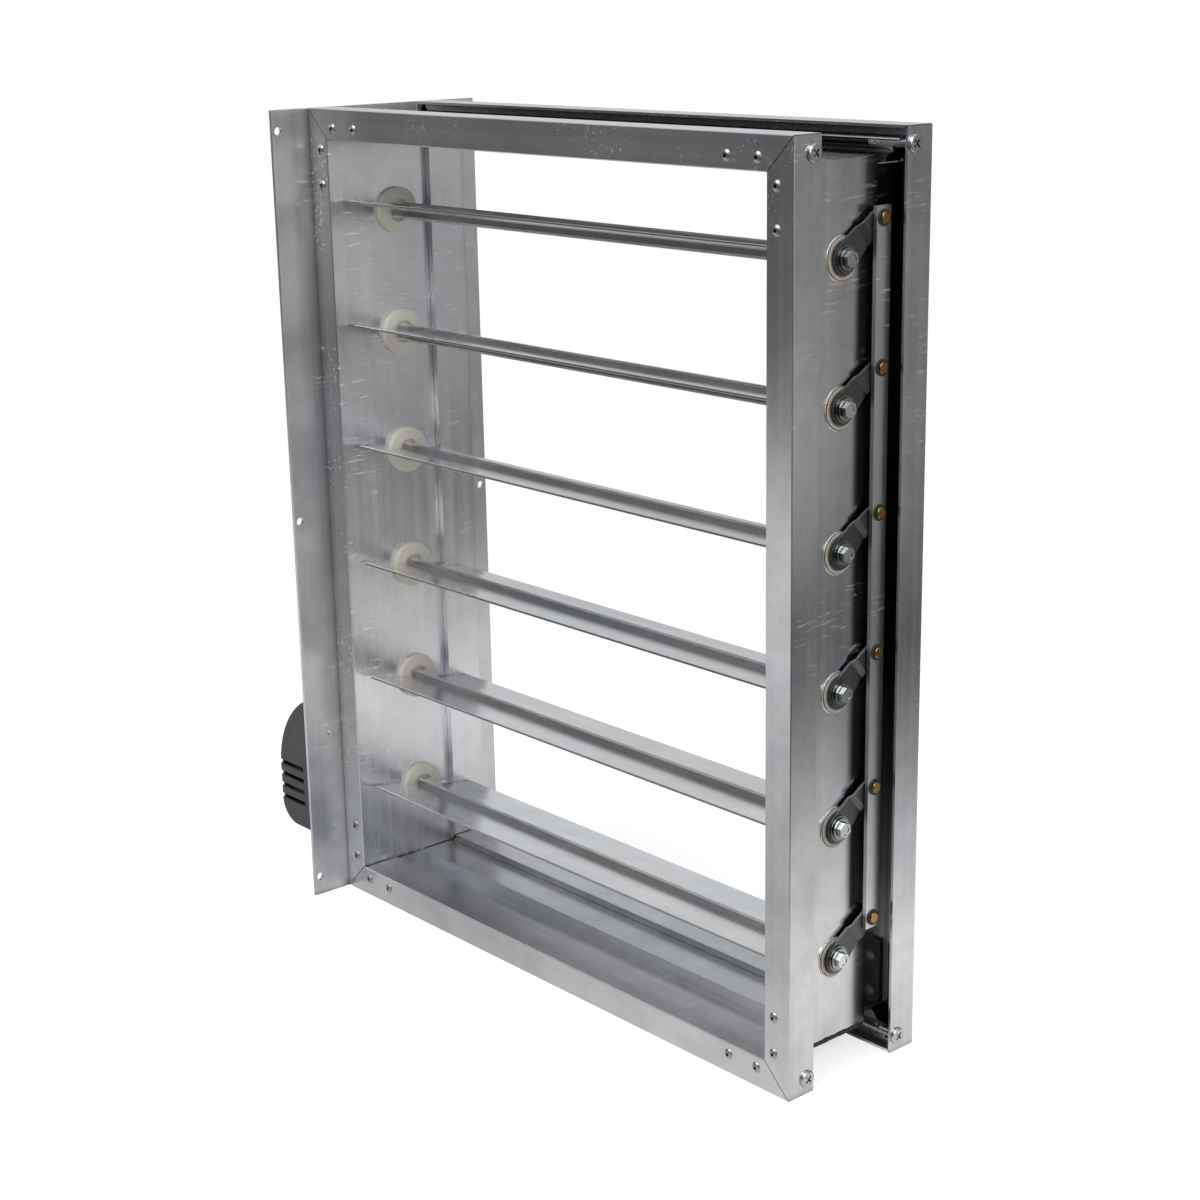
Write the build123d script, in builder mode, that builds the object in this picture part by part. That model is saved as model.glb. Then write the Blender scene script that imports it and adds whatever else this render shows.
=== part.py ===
"""Parallel blade damper: mitred aluminium frame, linked blades, side plate and rotary actuator.

Millimetres. X runs across the airway, Y along the airflow from front to back and Z up.
The origin is the middle of the frame's footprint, under the row of blade shafts.
The blades are stored nearly open, with their front edges a little high.
"""
import os
from math import cos, radians, sin

from build123d import *

# Frame extrusion: depths run along Y, heights run from the outer plane towards the airway
FRAME_WIDTH = 534.0
FRAME_HEIGHT = 668.0
FRAME_DEPTH = 132.0
WALL = 2.0
FACE = 24.0
LIP = 25.0
EDGE_ROUND = 0.8
FRONT_ZONE = 33.0
REAR_ZONE = 34.0
RECESS = 2.5
REAR_STEP = 3.5
MITRE_GAP = 0.6
WEB_RELIEF = 1.0

# Screw ports inside the top and bottom members, and the screws that go into them
PORT_INSET = 18.0
PORT_HEIGHT = 12.0
PORT_WALL = 2.0
PORT_RIB = 1.6
PORT_SLOT = 4.4
SCREW_D = 6.0
SCREW_LENGTH = 38.0
SCREW_HEAD_D = 12.5
SCREW_HEAD_H = 2.2
SCREW_HEAD_ROUND = 1.4
CROSS_LENGTH = 6.5
CROSS_WIDTH = 1.4
CROSS_DEPTH = 1.2
HOLE_FIT = 0.05
SNUG_FIT = 0.02

# Corner brackets behind the flanges, and the blind rivets through them
BRACKET_REACH = 74.0
BRACKET_WIDTH = 13.0
BRACKET_T = 2.5
RIVET_D = 4.0
RIVET_HEAD_D = 8.0
RIVET_HEAD_H = 1.5
RIVET_TAIL_D = 5.6
RIVET_TAIL_H = 2.0
RIVET_BORE_D = 2.6
RIVET_BORE_DEPTH = 3.5
RIVET_CROWN = 0.8
RIVET_ROW = 15.0
RIVET_NEAR = 32.0
RIVET_FAR = 60.0

# Stop angles on the top and bottom webs
STOP_HEIGHT = 8.5
STOP_FOOT = 12.0
STOP_T = 1.5
STOP_OFFSET = 13.5
STOP_END_GAP = 0.8

# Blades
BLADE_COUNT = 6
BLADE_PITCH = 100.0
BLADE_CHORD = 106.0
BLADE_END_GAP = 1.0
WING_T = 2.0
WING_ROUND = 0.6
BOSS_WIDTH = 15.0
BOSS_HEIGHT = 13.0
BOSS_CHAMFER = 1.5
REST_TILT = 12.0

# Shafts and the bushes they turn in
SHAFT_D = 10.0
RUNNING_FIT = 0.05
TENON = 7.0
BUSH_BARREL_D = 18.0
LEFT_FLANGE_D = 37.5
LEFT_FLANGE_T = 4.5
LEFT_BARREL_OUT = 5.0
RECESS_RING_D = 18.5
RECESS_RING_DEPTH = 2.0
RIGHT_FLANGE_D = 29.0
RIGHT_FLANGE_T = 1.5
RIGHT_BARREL_IN = 1.5
BUSH_ROUND = 0.6

# Levers, their bolts and pins, and the bar that links them
LEVER_R = 39.0
LEVER_ANGLE = 39.6
LEVER_T = 2.2
LEVER_HUB_R = 11.0
LEVER_END_R = 6.2
LEVER_JOGGLE = 2.2
JOGGLE_START = 21.0
JOGGLE_RUN = 4.0
MOVING_GAP = 0.3
WASHER_D = 19.0
WASHER_T = 1.0
BOLT_FLANGE_D = 15.5
BOLT_FLANGE_T = 1.2
BOLT_AF = 10.0
BOLT_HEAD_H = 4.0
BOLT_DISH_D = 7.0
BOLT_DISH_DEPTH = 0.5
BOLT_D = 5.0
BOLT_DEPTH = 16.0
PIN_D = 6.9
PIN_RIVET_D = 6.0
PIN_SHOULDER_D = 9.0
PIN_SHOULDER_T = 0.4
PIN_HEAD_D = 8.4
PIN_HEAD_H = 1.4
PIN_HEAD_ROUND = 0.8
BAR_WIDTH = 14.0
BAR_T = 3.0
BAR_END = 8.0
LINK_BUSH_D = 10.4
LINK_BUSH_FLANGE_D = 11.8
LINK_BUSH_FLANGE_T = 0.8

# Side plate on the left lips
PLATE_T = 3.0
PLATE_OVERHANG = 35.0
PLATE_HOLE_D = 6.6
PLATE_HOLE_EDGE_Y = 5.5
PLATE_HOLE_EDGE_Z = 16.5
PLATE_SHAFT_HOLE_D = 16.0
PLATE_SCREW_D = 4.2
PLATE_SCREW_HEAD_D = 9.0
PLATE_SCREW_HEAD_H = 2.6
PLATE_SCREW_EDGE_Z = 30.0
PLATE_SCREW_TAIL = 4.0
PLATE_SCREW_GAP = 20.0

# Actuator outside the plate: heights run from the drive shaft, thickness from the plate
ACT_THICK = 68.0
ACT_BELOW = 37.0
ACT_ABOVE = 91.0
ACT_FORWARD = 85.0
ACT_BACK = 38.0
ACT_WALL = 2.5
ACT_DOME_START = 14.5
ACT_CORNER = 22.0
ACT_EDGE = 3.0
ACT_BASE_T = 3.0
ACT_BASE_GAP = 0.3
SLOT_COUNT = 4
SLOT_PITCH = 10.6
SLOT_HEIGHT = 4.4
SLOT_LENGTH = 37.0
SLOT_RISE = 2.6
PILLAR_D = 8.0
PILLAR_LOW = -10.0
PILLAR_HIGH = 9.0
PILLAR_FRONT_INSET = 15.0
PILLAR_BACK_INSET = 8.0
COVER_SCREW_D = 3.0
COVER_SCREW_HEAD_D = 6.5
COVER_SCREW_HEAD_H = 1.8
COVER_SCREW_DEPTH = 12.0
BASE_SCREW_D = 4.0
BASE_SCREW_HEAD_D = 7.0
BASE_SCREW_HEAD_H = 2.4
BASE_SCREW_TAIL = 2.0
BASE_SCREW_LOW = -26.0
BASE_SCREW_HIGH = 60.0
BASE_SCREW_FRONT_INSET = 7.5
BASE_SCREW_BACK_INSET = 10.0
HUB_D = 30.0
HUB_PROUD = 13.0
HUB_START = 1.0
POINTER_LENGTH = 8.0
POINTER_WIDTH = 6.0
POINTER_T = 4.0
CLAMP_SCREW_D = 4.0
CLAMP_HEAD_AF = 6.0
CLAMP_HEAD_H = 4.0
SHAFT_PROUD = 5.0
GEAR_TEETH = 30
GEAR_ROOT_D = 46.0
GEAR_TOOTH_H = 2.5
GEAR_TOOTH_W = 2.4
GEAR_T = 8.0
GEAR_START = 22.0
MOTOR_D = 32.0
MOTOR_LENGTH = 40.0
MOTOR_FORWARD = 45.0
MOTOR_RISE = 30.0
MOTOR_NECK_D = 10.0
MOTOR_NECK_H = 4.0
BOARD_T = 1.6
BOARD_LENGTH = 70.0
BOARD_WIDTH = 26.0
BOARD_RISE = 64.0
BOARD_FORWARD = 30.0
BOARD_STAND = 5.0
BOARD_POST_D = 6.0
BOARD_POST_INSET = 5.0
BUTTON_D = 12.0
BUTTON_FLANGE_D = 16.0
BUTTON_FLANGE_T = 2.0
BUTTON_PROUD = 3.0
BUTTON_FORWARD = 54.0
BUTTON_RISE = -8.0
GLAND_FORWARD = 52.0
GLAND_OUT = 28.0
GLAND_THREAD_D = 16.0
GLAND_INSIDE = 6.0
GLAND_AF = 19.0
GLAND_HEX_H = 5.0
GLAND_NUT_D = 17.0
GLAND_NUT_H = 9.0
GLAND_NUT_ROUND = 3.0
GLAND_BORE_D = 8.0

# Places worked out from the sizes above
HALF_W = FRAME_WIDTH / 2
HALF_D = FRAME_DEPTH / 2
RECESS_FACE = FACE - RECESS
REAR_FACE = FACE + REAR_STEP
WEB_IN_X = HALF_W - RECESS_FACE
WEB_OUT_X = WEB_IN_X + WALL
PORT_Y = HALF_D - PORT_INSET
LIP_MID = HALF_D - LIP / 2
BLADE_SPAN = FRAME_WIDTH - 2 * (REAR_FACE + BLADE_END_GAP)
FIRST_AXIS_Z = FRAME_HEIGHT / 2 - BLADE_PITCH * (BLADE_COUNT - 1) / 2
AXIS_Z = [FIRST_AXIS_Z + i * BLADE_PITCH for i in range(BLADE_COUNT)]
LEVER_X = WEB_OUT_X + RIGHT_FLANGE_T + MOVING_GAP
LEVER_OUT_X = LEVER_X + LEVER_T
LEVER_END_X = LEVER_OUT_X + LEVER_JOGGLE
SHOULDER_X = LEVER_END_X + PIN_SHOULDER_T
BAR_X = SHOULDER_X + MOVING_GAP
BAR_OUT_X = BAR_X + BAR_T
PIN_HEAD_X = BAR_OUT_X + LINK_BUSH_FLANGE_T + MOVING_GAP
LINK_Y = LEVER_R * cos(radians(LEVER_ANGLE))
LINK_RISE = LEVER_R * sin(radians(LEVER_ANGLE))
PIN_Z = [z + LINK_RISE for z in AXIS_Z]
LEFT_BARREL_END_X = -WEB_OUT_X - LEFT_BARREL_OUT
PLATE_X = -HALF_W - PLATE_T
PLATE_HOLE_Y = HALF_D + PLATE_OVERHANG - PLATE_HOLE_EDGE_Y
PLATE_HOLE_Z = [PLATE_HOLE_EDGE_Z, FRAME_HEIGHT / 2, FRAME_HEIGHT - PLATE_HOLE_EDGE_Z]
PLATE_SCREW_TOP = FRAME_HEIGHT - PLATE_SCREW_EDGE_Z
PLATE_SCREW_LOW = FIRST_AXIS_Z + ACT_ABOVE + PLATE_SCREW_GAP
PLATE_SCREW_MID = (PLATE_SCREW_LOW + PLATE_SCREW_TOP) / 2
PLATE_SCREW_POINTS = [(-LIP_MID, z) for z in (PLATE_SCREW_LOW, PLATE_SCREW_MID, PLATE_SCREW_TOP)]
PLATE_SCREW_POINTS += [(LIP_MID, z) for z in (PLATE_SCREW_EDGE_Z, FRAME_HEIGHT / 2, PLATE_SCREW_TOP)]
CORNER_SCREW_POINTS = [(y, z) for y in (-PORT_Y, PORT_Y) for z in (PORT_HEIGHT, FRAME_HEIGHT - PORT_HEIGHT)]
DRIVE_END_X = PLATE_X - ACT_THICK - HUB_PROUD - SHAFT_PROUD
COVER_IN = ACT_THICK - ACT_WALL
PILLAR_Y = [PILLAR_FRONT_INSET - ACT_FORWARD, ACT_BACK - PILLAR_BACK_INSET]
PILLAR_POINTS = [(y, z) for y in PILLAR_Y for z in (PILLAR_LOW, PILLAR_HIGH)]
BASE_SCREW_Y = [BASE_SCREW_FRONT_INSET - ACT_FORWARD, ACT_BACK - BASE_SCREW_BACK_INSET]
BASE_SCREW_POINTS = [(y, z) for y in BASE_SCREW_Y for z in (BASE_SCREW_LOW, BASE_SCREW_HIGH)]

os.makedirs("parts", exist_ok=True)


def save(builder, name):
    """Label a finished piece and write its STEP file."""
    builder.part.label = name
    export_step(builder.part, f"parts/{name}.step")


def across(x, z=0.0, turn=0.0):
    """A plane facing +X at x and height z, with its local x turned up from +Y."""
    return Plane(origin=(x, 0, z), x_dir=(0, cos(radians(turn)), sin(radians(turn))), z_dir=(1, 0, 0))


def outward(thickness):
    """A plane facing -X on the drive shaft, this far out from the side plate; local x is -Y."""
    return Plane(origin=(PLATE_X - thickness, 0, FIRST_AXIS_Z), x_dir=(0, -1, 0), z_dir=(-1, 0, 0))


def ahead(points):
    """The same points for a plane whose local x is -Y."""
    return [(-y, z) for y, z in points]


def frame_outline():
    """Closed outline of the frame extrusion: flanges, return lips and stepped web."""
    front, back = -HALF_D, HALF_D
    step = front + FRONT_ZONE
    riser = back - REAR_ZONE
    return [
        (front, 0),
        (front, FACE),
        (step, FACE),
        (step, RECESS_FACE),
        (riser, RECESS_FACE),
        (riser, REAR_FACE),
        (back, REAR_FACE),
        (back, 0),
        (back - LIP, 0),
        (back - LIP, WALL),
        (back - WALL, WALL),
        (back - WALL, REAR_FACE - WALL),
        (riser + WALL, REAR_FACE - WALL),
        (riser + WALL, RECESS_FACE - WALL),
        (step - WALL, RECESS_FACE - WALL),
        (step - WALL, FACE - WALL),
        (front + WALL, FACE - WALL),
        (front + WALL, WALL),
        (front + LIP, WALL),
        (front + LIP, 0),
    ]


def frame_member(start, length, with_ports, cuts):
    """One mitred length of the extrusion, from the start plane along its normal, with its holes."""
    side = Plane(origin=start.origin, x_dir=start.z_dir, z_dir=start.x_dir * -1)
    cut = MITRE_GAP / 2 ** 0.5
    relief_low = RECESS_FACE - WALL - WEB_RELIEF
    rivets = [(s, RIVET_ROW) for s in (RIVET_NEAR, RIVET_FAR, length - RIVET_FAR, length - RIVET_NEAR)]
    rivet_hole = RIVET_D + 2 * HOLE_FIT
    flanges = [(side.offset(HALF_D), rivets, rivet_hole, -WALL)]
    flanges.append((side.offset(WALL - HALF_D), rivets, rivet_hole, -WALL))
    with BuildPart() as member:
        with BuildSketch(start) as outline:
            with BuildLine():
                Polyline(*frame_outline(), close=True)
            make_face()
            rows = outline.vertices().group_by(Axis.X)
            fillet(rows[0] + rows[-1], radius=EDGE_ROUND)
            if with_ports:
                for y, web in ((-PORT_Y, FACE), (PORT_Y, REAR_FACE)):
                    with Locations((y, web / 2)):
                        Rectangle(PORT_RIB, web - WALL)
                    with Locations((y, PORT_HEIGHT)):
                        Circle(SCREW_D / 2 + PORT_WALL)
                        Circle(SCREW_D / 2 + HOLE_FIT, mode=Mode.SUBTRACT)
                    with Locations((y - y / PORT_Y * SCREW_D / 2, PORT_HEIGHT)):
                        Rectangle(SCREW_D, PORT_SLOT, mode=Mode.SUBTRACT)
        extrude(amount=length)
        with BuildSketch(side):
            with BuildLine():
                Polyline(
                    (cut, 0),
                    (length - cut, 0),
                    (length - cut - REAR_FACE, REAR_FACE),
                    (cut + REAR_FACE, REAR_FACE),
                    close=True,
                )
            make_face()
        extrude(amount=FRAME_DEPTH, both=True, mode=Mode.INTERSECT)
        if with_ports:
            with BuildSketch(side):
                with BuildLine():
                    Polyline(
                        (cut + relief_low, relief_low),
                        (cut + REAR_FACE, REAR_FACE),
                        (cut + REAR_FACE + WEB_RELIEF, REAR_FACE),
                        (cut + relief_low + WEB_RELIEF, relief_low),
                        close=True,
                    )
                make_face()
                mirror(about=Plane.YZ.offset(length / 2))
            extrude(amount=HALF_D - WALL, both=True, mode=Mode.SUBTRACT)
        for at, points, diameter, depth in flanges + cuts:
            with BuildSketch(at):
                with Locations(*points):
                    Circle(diameter / 2)
            extrude(amount=depth, mode=Mode.SUBTRACT)
    return member


# Frame: four mitred lengths, holes for bushes, screws and rivets
bush_hole = BUSH_BARREL_D + 2 * HOLE_FIT
bush_points = [(0, z) for z in AXIS_Z]
right_cuts = [
    (across(WEB_IN_X), bush_points, bush_hole, WALL),
    (across(HALF_W - WALL), CORNER_SCREW_POINTS, SCREW_D + 2 * HOLE_FIT, WALL),
]
left_cuts = [
    (across(-WEB_OUT_X), bush_points, bush_hole, WALL),
    (across(-HALF_W), PLATE_SCREW_POINTS, PLATE_SCREW_D + 2 * HOLE_FIT, WALL),
]
bottom_start = Plane(origin=(-HALF_W, 0, 0), x_dir=(0, 1, 0), z_dir=(1, 0, 0))
top_start = Plane(origin=(HALF_W, 0, FRAME_HEIGHT), x_dir=(0, 1, 0), z_dir=(-1, 0, 0))
right_start = Plane(origin=(HALF_W, 0, 0), x_dir=(0, 1, 0), z_dir=(0, 0, 1))
left_start = Plane(origin=(-HALF_W, 0, FRAME_HEIGHT), x_dir=(0, 1, 0), z_dir=(0, 0, -1))
save(frame_member(bottom_start, FRAME_WIDTH, True, []), "frame_bottom")
save(frame_member(top_start, FRAME_WIDTH, True, []), "frame_top")
save(frame_member(right_start, FRAME_HEIGHT, False, right_cuts), "frame_right")
save(frame_member(left_start, FRAME_HEIGHT, False, left_cuts), "frame_left")

# Corner brackets: an L inside each front and rear corner
bracket_low = RIVET_ROW - BRACKET_WIDTH / 2
bracket_high = RIVET_ROW + BRACKET_WIDTH / 2
bracket_faces = [Plane(origin=(0, y, 0), x_dir=(1, 0, 0), z_dir=(0, -1, 0)) for y in (
    WALL + BRACKET_T - HALF_D,
    HALF_D - WALL,
)]
rivet_steps = (RIVET_NEAR, RIVET_FAR)
rivet_points = [(sx * (HALF_W - s), RIVET_ROW) for sx in (-1, 1) for s in rivet_steps]
rivet_points += [(sx * (HALF_W - s), FRAME_HEIGHT - RIVET_ROW) for sx in (-1, 1) for s in rivet_steps]
rivet_points += [(sx * (HALF_W - RIVET_ROW), s) for sx in (-1, 1) for s in rivet_steps]
rivet_points += [(sx * (HALF_W - RIVET_ROW), FRAME_HEIGHT - s) for sx in (-1, 1) for s in rivet_steps]
with BuildPart() as corner_brackets:
    for face in bracket_faces:
        with BuildSketch(face) as legs:
            with BuildLine():
                Polyline(
                    (HALF_W - bracket_low, bracket_low),
                    (HALF_W - bracket_low, BRACKET_REACH),
                    (HALF_W - bracket_high, BRACKET_REACH),
                    (HALF_W - bracket_high, bracket_high),
                    (HALF_W - BRACKET_REACH, bracket_high),
                    (HALF_W - BRACKET_REACH, bracket_low),
                    close=True,
                )
            make_face()
            mirror(about=Plane.YZ)
            mirror(about=Plane.XZ.offset(-FRAME_HEIGHT / 2))
            with Locations(*rivet_points):
                Circle(RIVET_D / 2 + HOLE_FIT, mode=Mode.SUBTRACT)
        extrude(amount=BRACKET_T)
save(corner_brackets, "corner_brackets")

# Blind rivets: one shape, set on the front flange and turned round for the rear
with BuildPart() as rivet:
    grip = WALL + BRACKET_T
    crown_r = (RIVET_HEAD_D + RIVET_BORE_D) / 4
    with BuildSketch(Plane.XZ):
        with BuildLine():
            Polyline(
                (RIVET_BORE_D / 2, RIVET_HEAD_H),
                (RIVET_BORE_D / 2, RIVET_HEAD_H - RIVET_BORE_DEPTH),
                (0, RIVET_HEAD_H - RIVET_BORE_DEPTH),
                (0, -grip - RIVET_TAIL_H),
                (RIVET_TAIL_D / 2, -grip - RIVET_TAIL_H),
                (RIVET_TAIL_D / 2, -grip),
                (RIVET_D / 2, -grip),
                (RIVET_D / 2, 0),
                (RIVET_HEAD_D / 2, 0),
            )
            ThreePointArc(
                (RIVET_HEAD_D / 2, 0),
                (crown_r, RIVET_HEAD_H * RIVET_CROWN),
                (RIVET_BORE_D / 2, RIVET_HEAD_H),
            )
        make_face()
    revolve(axis=Axis.Z)
for name, y, facing in (("front_rivets", -HALF_D, -1), ("rear_rivets", HALF_D, 1)):
    with BuildPart() as rivets:
        with Locations(*[
            Plane(origin=(x, y, z), x_dir=(1, 0, 0), z_dir=(0, facing, 0)) for x, z in rivet_points
        ]):
            add(rivet.part)
    save(rivets, name)

# Corner screws: cross-headed, from the right lips into the ports
with BuildPart() as corner_screws:
    with BuildSketch(across(HALF_W)):
        with Locations(*CORNER_SCREW_POINTS):
            Circle(SCREW_D / 2)
    extrude(amount=-SCREW_LENGTH)
    with BuildSketch(across(HALF_W)):
        with Locations(*CORNER_SCREW_POINTS):
            Circle(SCREW_HEAD_D / 2)
    extrude(amount=SCREW_HEAD_H)
    rims = corner_screws.edges().filter_by(GeomType.CIRCLE).group_by(Axis.X)[-1]
    fillet(rims, radius=SCREW_HEAD_ROUND)
    with BuildSketch(across(HALF_W + SCREW_HEAD_H)):
        with Locations(*CORNER_SCREW_POINTS):
            Rectangle(CROSS_LENGTH, CROSS_WIDTH, rotation=45)
            Rectangle(CROSS_WIDTH, CROSS_LENGTH, rotation=45)
    extrude(amount=-CROSS_DEPTH, mode=Mode.SUBTRACT)
save(corner_screws, "corner_screws")

# Stop angles: one on the bottom web and the same one turned over under the top web
stop_length = 2 * (WEB_IN_X - STOP_END_GAP)
stop_places = [("bottom_stop_angle", RECESS_FACE, 1), ("top_stop_angle", FRAME_HEIGHT - RECESS_FACE, -1)]
for name, base, up in stop_places:
    with BuildPart() as stop_angle:
        with BuildSketch(across(-stop_length / 2)):
            with BuildLine():
                Polyline(
                    (-up * STOP_OFFSET, base),
                    (-up * STOP_OFFSET, base + up * STOP_HEIGHT),
                    (up * (STOP_T - STOP_OFFSET), base + up * STOP_HEIGHT),
                    (up * (STOP_T - STOP_OFFSET), base + up * STOP_T),
                    (up * (STOP_FOOT - STOP_OFFSET), base + up * STOP_T),
                    (up * (STOP_FOOT - STOP_OFFSET), base),
                    close=True,
                )
            make_face()
        extrude(amount=stop_length)
    save(stop_angle, name)

# Bushes: flanged inside the airway on the left, flanged in the channel on the right
bush_bore = SHAFT_D / 2 + RUNNING_FIT
with BuildPart() as left_bushes:
    with BuildSketch(across(-WEB_IN_X)):
        with Locations(*bush_points):
            Circle(LEFT_FLANGE_D / 2)
    extrude(amount=LEFT_FLANGE_T)
    fillet(left_bushes.edges().filter_by(GeomType.CIRCLE).group_by(Axis.X)[-1], radius=BUSH_ROUND)
    with BuildSketch(across(-WEB_IN_X)):
        with Locations(*bush_points):
            Circle(BUSH_BARREL_D / 2)
    extrude(amount=LEFT_BARREL_END_X + WEB_IN_X)
    with BuildSketch(across(LEFT_FLANGE_T - WEB_IN_X)):
        with Locations(*bush_points):
            Circle(RECESS_RING_D / 2)
    extrude(amount=-RECESS_RING_DEPTH, mode=Mode.SUBTRACT)
    with BuildSketch(across(LEFT_BARREL_END_X)):
        with Locations(*bush_points):
            Circle(bush_bore)
    extrude(amount=LEFT_FLANGE_T - WEB_IN_X - LEFT_BARREL_END_X, mode=Mode.SUBTRACT)
save(left_bushes, "left_bushes")
with BuildPart() as right_bushes:
    with BuildSketch(across(WEB_OUT_X)):
        with Locations(*bush_points):
            Circle(RIGHT_FLANGE_D / 2)
    extrude(amount=RIGHT_FLANGE_T)
    fillet(right_bushes.edges().filter_by(GeomType.CIRCLE).group_by(Axis.X)[-1], radius=BUSH_ROUND)
    with BuildSketch(across(WEB_OUT_X)):
        with Locations(*bush_points):
            Circle(BUSH_BARREL_D / 2)
    extrude(amount=-WALL - RIGHT_BARREL_IN)
    with BuildSketch(across(WEB_OUT_X + RIGHT_FLANGE_T)):
        with Locations(*bush_points):
            Circle(bush_bore)
    extrude(amount=-RIGHT_FLANGE_T - WALL - RIGHT_BARREL_IN, mode=Mode.SUBTRACT)
save(right_bushes, "right_bushes")

# Blades, shafts, levers, lever bolts and link pins, one set to each axis
for number, z in enumerate(AXIS_Z, start=1):
    with BuildPart() as blade:
        with BuildSketch(across(-BLADE_SPAN / 2, z, -REST_TILT)) as section:
            Rectangle(BLADE_CHORD, WING_T)
            fillet(section.vertices(), radius=WING_ROUND)
            with BuildSketch(mode=Mode.ADD) as boss:
                Rectangle(BOSS_WIDTH, BOSS_HEIGHT)
                chamfer(boss.vertices(), length=BOSS_CHAMFER)
            Circle(SHAFT_D / 2 + SNUG_FIT, mode=Mode.SUBTRACT)
        extrude(amount=BLADE_SPAN)
    save(blade, f"blade_{number}")

    left_end = DRIVE_END_X if number == 1 else LEFT_BARREL_END_X
    with BuildPart() as shaft:
        with BuildSketch(across(left_end, z)):
            Circle(SHAFT_D / 2)
        extrude(amount=LEVER_X - left_end)
        with BuildSketch(across(LEVER_X, z, LEVER_ANGLE)):
            Rectangle(TENON, TENON)
        extrude(amount=LEVER_T)
        with BuildSketch(across(LEVER_OUT_X, z)):
            Circle(BOLT_D / 2 + SNUG_FIT)
        extrude(amount=-BOLT_DEPTH, mode=Mode.SUBTRACT)
    save(shaft, f"shaft_{number}")

    flat = across(LEVER_X, z, LEVER_ANGLE)
    edge = Plane(origin=flat.origin, x_dir=flat.x_dir, z_dir=flat.y_dir * -1)
    hub_back = -LEVER_HUB_R
    tip = LEVER_R + LEVER_END_R
    bend = JOGGLE_START + JOGGLE_RUN
    with BuildPart() as lever:
        with BuildSketch(flat):
            Circle(LEVER_HUB_R)
            with Locations((LEVER_R, 0)):
                Circle(LEVER_END_R)
            make_hull()
            Rectangle(TENON + 2 * SNUG_FIT, TENON + 2 * SNUG_FIT, mode=Mode.SUBTRACT)
            with Locations((LEVER_R, 0)):
                Circle(PIN_RIVET_D / 2 + SNUG_FIT, mode=Mode.SUBTRACT)
        extrude(amount=LEVER_T + LEVER_JOGGLE)
        with BuildSketch(edge):
            with BuildLine():
                Polyline(
                    (hub_back, 0),
                    (JOGGLE_START, 0),
                    (bend, LEVER_JOGGLE),
                    (tip, LEVER_JOGGLE),
                    (tip, LEVER_JOGGLE + LEVER_T),
                    (bend, LEVER_JOGGLE + LEVER_T),
                    (JOGGLE_START, LEVER_T),
                    (hub_back, LEVER_T),
                    close=True,
                )
            make_face()
        extrude(amount=LEVER_HUB_R, both=True, mode=Mode.INTERSECT)
    save(lever, f"lever_{number}")

    with BuildPart() as lever_bolt:
        with BuildSketch(across(LEVER_OUT_X, z)):
            Circle(WASHER_D / 2)
        extrude(amount=WASHER_T)
        with BuildSketch(across(LEVER_OUT_X + WASHER_T, z)):
            Circle(BOLT_FLANGE_D / 2)
        extrude(amount=BOLT_FLANGE_T)
        with BuildSketch(across(LEVER_OUT_X + WASHER_T + BOLT_FLANGE_T, z, LEVER_ANGLE)):
            RegularPolygon(BOLT_AF / 2, 6, major_radius=False)
        extrude(amount=BOLT_HEAD_H)
        with BuildSketch(lever_bolt.faces().sort_by(Axis.X)[-1]):
            Circle(BOLT_DISH_D / 2)
        extrude(amount=-BOLT_DISH_DEPTH, mode=Mode.SUBTRACT)
        with BuildSketch(across(LEVER_OUT_X, z)):
            Circle(BOLT_D / 2)
        extrude(amount=-BOLT_DEPTH)
    save(lever_bolt, f"lever_bolt_{number}")

    with BuildPart() as link_pin:
        for x, diameter, length in (
            (LEVER_END_X, PIN_RIVET_D, -LEVER_T),
            (LEVER_END_X, PIN_SHOULDER_D, PIN_SHOULDER_T),
            (SHOULDER_X, PIN_D, PIN_HEAD_X - SHOULDER_X),
            (PIN_HEAD_X, PIN_HEAD_D, PIN_HEAD_H),
        ):
            with BuildSketch(across(x, z + LINK_RISE)):
                with Locations((LINK_Y, 0)):
                    Circle(diameter / 2)
            extrude(amount=length)
        fillet(link_pin.edges().sort_by(Axis.X)[-1], radius=PIN_HEAD_ROUND)
    save(link_pin, f"link_pin_{number}")

# Link bar and its bushes: the first bush runs on its pin, the others are open to the pins they pass
bar_points = [(LINK_Y, z) for z in PIN_Z]
with BuildPart() as link_bar:
    with BuildSketch(across(BAR_X)):
        with Locations((LINK_Y, (PIN_Z[0] + PIN_Z[-1]) / 2)):
            Rectangle(BAR_WIDTH, PIN_Z[-1] - PIN_Z[0] + 2 * BAR_END)
        with Locations(*bar_points):
            Circle(LINK_BUSH_D / 2 + HOLE_FIT, mode=Mode.SUBTRACT)
    extrude(amount=BAR_T)
save(link_bar, "link_bar")
with BuildPart() as link_bushes:
    with BuildSketch(across(BAR_X)):
        with Locations(*bar_points):
            Circle(LINK_BUSH_D / 2)
    extrude(amount=BAR_T)
    with BuildSketch(across(BAR_OUT_X)):
        with Locations(*bar_points):
            Circle(LINK_BUSH_FLANGE_D / 2)
    extrude(amount=LINK_BUSH_FLANGE_T)
    with BuildSketch(across(BAR_X)):
        with Locations(bar_points[0]):
            Circle(PIN_D / 2 + RUNNING_FIT)
        with Locations(*bar_points[1:]):
            Circle(PIN_D / 2 + MOVING_GAP)
    extrude(amount=BAR_T + LINK_BUSH_FLANGE_T, mode=Mode.SUBTRACT)
save(link_bushes, "link_bushes")

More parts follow.
